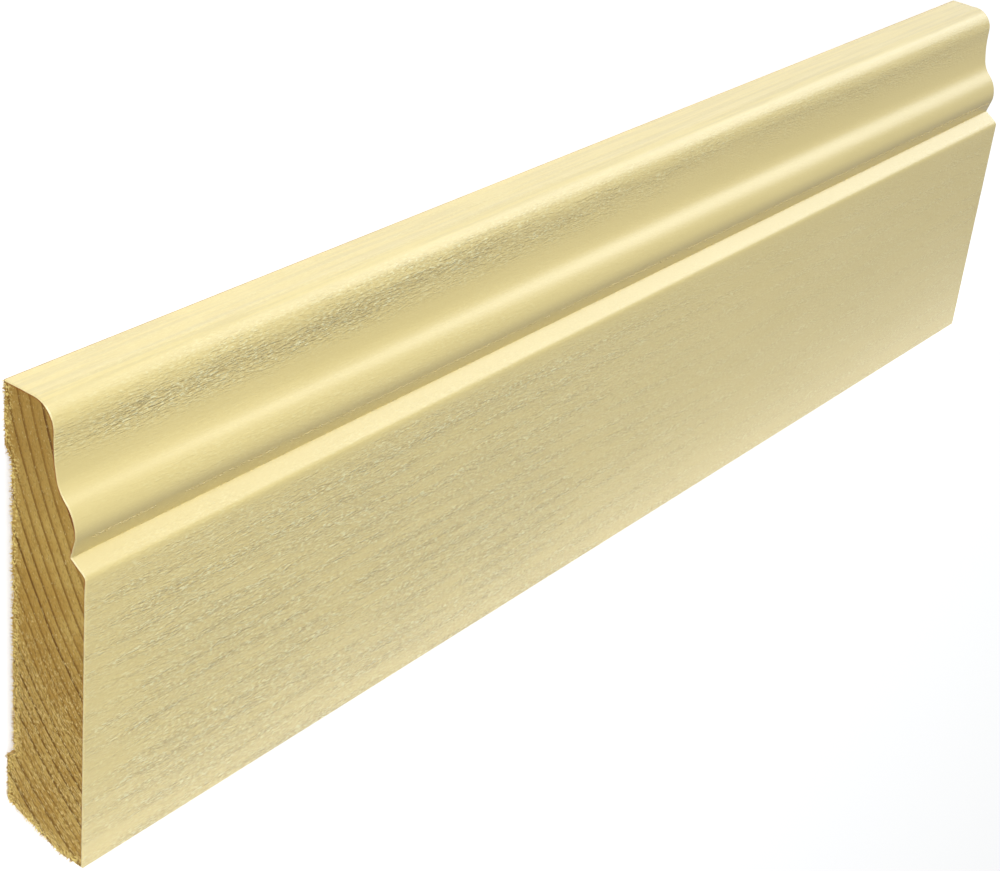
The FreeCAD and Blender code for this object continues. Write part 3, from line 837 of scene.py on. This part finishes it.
# %% The bare edge of both ends, with the way out of the wood at each point
ROOTED = 0.25                          # how deep in the wood a fibre is held, in mm
SKIPPED = 3                            # bare points next to the paint that carry no fibre
ON_BACK, FLATTENED = 0.8, 0.15         # below this height fibres lean out only this much
SIDEWAYS = 0.8                         # how far a fibre leans out of the sawn face
edge_mesh = bpy.data.meshes.new("bare edges")
edge_places, edge_spans, edge_ways = [], [], []
first_bare = len(painted) + SKIPPED
for side in (-1, 1):
    first = len(edge_places)
    for k in range(first_bare, len(full) - SKIPPED + 1):
        spot = full[k] + inward[k] * ROOTED
        out = -inward[k] * (1.0 if spot[1] > ON_BACK else FLATTENED)
        edge_places.append((side * (LENGTH / 2 - ROOTED) * MM, spot[0] * MM, spot[1] * MM))
        edge_ways.append((side * SIDEWAYS, out[0], out[1]))
    edge_spans += [(k, k + 1) for k in range(first, len(edge_places) - 1)]
edge_mesh.from_pydata(edge_places, edge_spans, [])
edge_mesh.attributes.new("way", "FLOAT_VECTOR", "POINT").data.foreach_set(
    "vector", np.ravel(edge_ways))


# %% Points sown along a line of edges
def spots_along(tree, given):
    """Points along the tree's incoming line, one at every Spacing."""
    walk = add(tree, "GeometryNodeMeshToCurve", given["Geometry"])
    walk = add(tree, "GeometryNodeResampleCurve", {"Curve": walk, "Length": given["Spacing"]},
               mode="LENGTH")
    return add(tree, "GeometryNodeCurveToPoints", {"Curve": walk}, mode="EVALUATED")


# %% The tree that sows torn fibres
def torn_fringe():
    tree, given = group("fringe of torn fibres", Spacing="Float", Shortest="Float",
                        Longest="Float", Thickness="Float", Spread="Float", Seed="Int",
                        Fibre="Material")
    spots = spots_along(tree, given)
    way = add(tree, "GeometryNodeInputNamedAttribute", {"Name": "way"},
              data_type="FLOAT_VECTOR")
    stray = add(tree, "FunctionNodeRandomValue",
                {"Min": (-1.0, -1.0, -1.0), "Max": (1.0, 1.0, 1.0), "Seed": given["Seed"]},
                data_type="FLOAT_VECTOR")
    lean = add(tree, VECTOR, stray, {"Scale": given["Spread"]}, **SCALED)
    lean = add(tree, VECTOR, way, lean, **PLUS)
    turned = add(tree, "FunctionNodeAlignRotationToVector", {"Vector": lean}, axis="Z")
    length = add(tree, "FunctionNodeRandomValue",
                 {2: given["Shortest"], 3: given["Longest"], "Seed": 11}, data_type="FLOAT")
    thick = add(tree, "FunctionNodeRandomValue",
                {2: add(tree, MATH, given["Thickness"], 0.5, **TIMES), 3: given["Thickness"],
                 "Seed": 23}, data_type="FLOAT")
    size = add(tree, JOIN, thick.outputs[1], thick.outputs[1], length.outputs[1])
    sliver = add(tree, "GeometryNodeMeshCone",
                 {"Vertices": 5, "Side Segments": 2, "Radius Top": 0.25,
                  "Radius Bottom": 1.0, "Depth": 1.0}).outputs["Mesh"]
    fringe = add(tree, "GeometryNodeInstanceOnPoints",
                 {"Points": spots, "Instance": sliver, "Rotation": turned, "Scale": size})
    fringe = add(tree, "GeometryNodeRealizeInstances", fringe)
    place = add(tree, SPLIT, add(tree, "GeometryNodeInputPosition")).outputs
    above = add(tree, MATH, place["Z"], 0.02 * MM, **MOST)
    fringe = add(tree, "GeometryNodeSetPosition",
                 {"Geometry": fringe, "Position": add(tree, JOIN, place["X"], place["Y"], above)})
    fringe = add(tree, "GeometryNodeSetMaterial",
                 {"Geometry": fringe, "Material": given["Fibre"]})
    add(tree, "NodeGroupOutput", fringe)
    return tree


fringe = grow("torn_fibres", edge_mesh, torn_fringe(), Spacing=0.25 * MM, Shortest=0.3 * MM,
              Longest=0.8 * MM, Thickness=0.15 * MM, Spread=0.85, Seed=5,
              Fibre=materials[TORN])
print(f"torn fibres: {len(fringe.data.polygons)} faces")

# %% [markdown]
# Fluff in the groove. Where the bead's underside meets the groove the cutter could not reach
# cleanly, and a dotted line of fibre ends stayed there and was painted over. They are round
# lumps up to half a millimetre across and longer along the board, so each is a small faceted
# ball. The tree sows them along a line that follows the groove, with gaps.

# %% The line that the fluff lies on
fluff_mesh = bpy.data.meshes.new("groove line")
FLUFF_UP = 0.84                        # from the groove's corner up to the bead's lip
NEAR_BARE, FAR_BARE = 4, 2             # mm at each end of the board without fluff
fluff_spot = at["groove"].lerp(at["lip foot"], FLUFF_UP) * MM
fluff_mesh.from_pydata([((NEAR_BARE - LENGTH / 2) * MM, *fluff_spot),
                        ((LENGTH / 2 - FAR_BARE) * MM, *fluff_spot)], [(0, 1)], [])


# %% The tree that sows painted fluff
def painted_fluff():
    tree, given = group("line of painted fluff", Spacing="Float", Size="Float",
                        Stray="Float", Seed="Int", Paint="Material")
    spots = spots_along(tree, given)
    place = add(tree, "GeometryNodeInputPosition")
    in_mm = add(tree, VECTOR, place, {"Scale": 1 / MM}, **SCALED)
    clump = noises(tree, in_mm, clump=(7.0, 7.0, 7.0, 2.0))["clump"]
    empty = add(tree, "FunctionNodeCompare", clump, 0.36, operation="LESS_THAN")
    spots = add(tree, "GeometryNodeDeleteGeometry", {"Geometry": spots, "Selection": empty},
                domain="POINT")
    stray = add(tree, "FunctionNodeRandomValue",
                {"Min": (-1.0, -1.0, -0.4), "Max": (1.0, 1.0, 0.4), "Seed": given["Seed"]},
                data_type="FLOAT_VECTOR")
    stray = add(tree, VECTOR, stray, {"Scale": given["Stray"]}, **SCALED)
    spots = add(tree, "GeometryNodeSetPosition", {"Geometry": spots, "Offset": stray})
    size = add(tree, "FunctionNodeRandomValue",
               {"Min": (0.8, 0.4, 0.4), "Max": (2.2, 1.0, 0.8), "Seed": 31},
               data_type="FLOAT_VECTOR")
    size = add(tree, VECTOR, size, {"Scale": given["Size"]}, **SCALED)
    lump = add(tree, "GeometryNodeMeshIcoSphere", {"Radius": 1.0, "Subdivisions": 1})
    fluff = add(tree, "GeometryNodeInstanceOnPoints",
                {"Points": spots, "Instance": lump, "Scale": size})
    fluff = add(tree, "GeometryNodeRealizeInstances", fluff)
    fluff = add(tree, "GeometryNodeSetMaterial", {"Geometry": fluff, "Material": given["Paint"]})
    add(tree, "NodeGroupOutput", fluff)
    return tree


fluff = grow("painted_fluff", fluff_mesh, painted_fluff(), Spacing=0.42 * MM, Size=0.22 * MM,
             Stray=0.14 * MM, Seed=9, Paint=materials[PAINT])
fluff.data.shade_smooth()
print(f"painted fluff: {len(fluff.data.polygons)} faces")

# %% [markdown]
# The camera stands where the photographer's did. The board lies on its back, so the camera
# looks down on it and is rolled until the moulded edge is at the top of the picture.

# %% The camera
CAMERA_PLACE = Vector((-0.39815, 0.22823, 0.25817))
LOOKS = Vector((0.72145, -0.47966, -0.49944))
PICTURE_RIGHT = Vector((0.61058, 0.10041, 0.78556))
LENS = 79.55
camera = bpy.data.objects.new("camera", bpy.data.cameras.new("camera"))
bpy.context.scene.collection.objects.link(camera)
bpy.context.scene.camera = camera
camera.data.lens, camera.data.sensor_width, camera.data.sensor_fit = LENS, 36.0, "HORIZONTAL"
camera.data.clip_start = 0.01
back = -LOOKS.normalized()
right = (PICTURE_RIGHT - back * PICTURE_RIGHT.dot(back)).normalized()
up = back.cross(right)
camera.matrix_world = Matrix((
    (right.x, up.x, back.x, CAMERA_PLACE.x), (right.y, up.y, back.y, CAMERA_PLACE.y),
    (right.z, up.z, back.z, CAMERA_PLACE.z), (0, 0, 0, 1)))
print(f"camera {CAMERA_PLACE.length / MM:.0f} mm from the board's middle, lens {LENS} mm")

# %% [markdown]
# Soft studio light. Two small soft lamps near the camera side model the curves and rake the
# relief, two long ones beyond the far end shine along the mouldings, and a low strip of
# light beside the lower edge does what a white table does there: it lifts the foot of the
# face. The floor is plain and pale, and it keeps the board's shadow.

# %% Lamps
def lamp(name, direction, distance, size, watts, tint):
    data = bpy.data.lights.new(name, "AREA")
    data.color = linear(tint)[:3]
    data.shape, data.size, data.size_y, data.energy = "RECTANGLE", size[0], size[1], watts
    made = bpy.data.objects.new(name, data)
    bpy.context.scene.collection.objects.link(made)
    towards = Vector(direction).normalized()
    made.location = towards * distance
    made.rotation_mode = "QUATERNION"
    made.rotation_quaternion = towards.to_track_quat("Z", "Y")
    return made


lamp("near high", (-0.50, 0.45, 0.74), 0.9, (0.4, 0.4), 2.0, "#F5FBFF")
lamp("near side", (-0.60, 0.68, 0.42), 1.4, (0.4, 0.4), 6.9, "#F5FBFF")
lamp("far low", (0.76, 0.61, 0.16), 1.8, (1.3, 0.36), 4.4, "#F5FBFF")
lamp("far high", (0.74, 0.52, 0.42), 1.8, (1.1, 0.40), 3.7, "#F5FBFF")
card = lamp("bounce card", (0.0, -0.90, 0.43), 0.083, (0.6, 0.03), 0.050, "#FFFCF2")
card.visible_camera = False
print("lamps:", ", ".join(light.name for light in bpy.data.lights))

# %% Floor and world
floor_mesh = bpy.data.meshes.new("floor")
FLOOR = 8.0
floor_mesh.from_pydata([(-FLOOR, -FLOOR, 0), (FLOOR, -FLOOR, 0), (FLOOR, FLOOR, 0),
                        (-FLOOR, FLOOR, 0)], [], [(0, 1, 2, 3)])
floor = bpy.data.objects.new("floor", floor_mesh)
bpy.context.scene.collection.objects.link(floor)
floor_material = bpy.data.materials.new("pale studio floor")
floor_material.use_nodes = True
tree = floor_material.node_tree
tree.nodes.clear()
path = add(tree, "ShaderNodeLightPath").outputs
seen = add(tree, MATH, path["Is Camera Ray"], path["Is Glossy Ray"], **MOST)
glow = add(tree, MATH, seen, 0.5, **TIMES)
lit = add(tree, "ShaderNodeBsdfDiffuse", {"Color": (0.82, 0.82, 0.82, 1)})
white = add(tree, "ShaderNodeEmission", {"Strength": glow})
both = add(tree, "ShaderNodeAddShader", lit, white)
add(tree, "ShaderNodeOutputMaterial", {"Surface": both})
floor_mesh.materials.append(floor_material)

world = bpy.data.worlds.new("studio")
bpy.context.scene.world = world
world.use_nodes = True
tree = world.node_tree
tree.nodes.clear()
seen = add(tree, "ShaderNodeLightPath").outputs["Is Camera Ray"]
level = add(tree, RAMP, seen, 0.0, 1.0, 0.49, 1.0)
sky = add(tree, "ShaderNodeBackground", {"Strength": level})
add(tree, "ShaderNodeOutputWorld", {"Surface": sky})
bpy.context.scene.view_settings.view_transform = "Standard"

# %% [markdown]
# The board, its torn fibres and its fluff are one stick of wood, so all three ride on the
# part's only body. The board stands for the CAD solid.

# %% Tie the board to its body
for piece in (board, fringe, fluff):
    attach(piece, "root")
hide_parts("skirting_board")
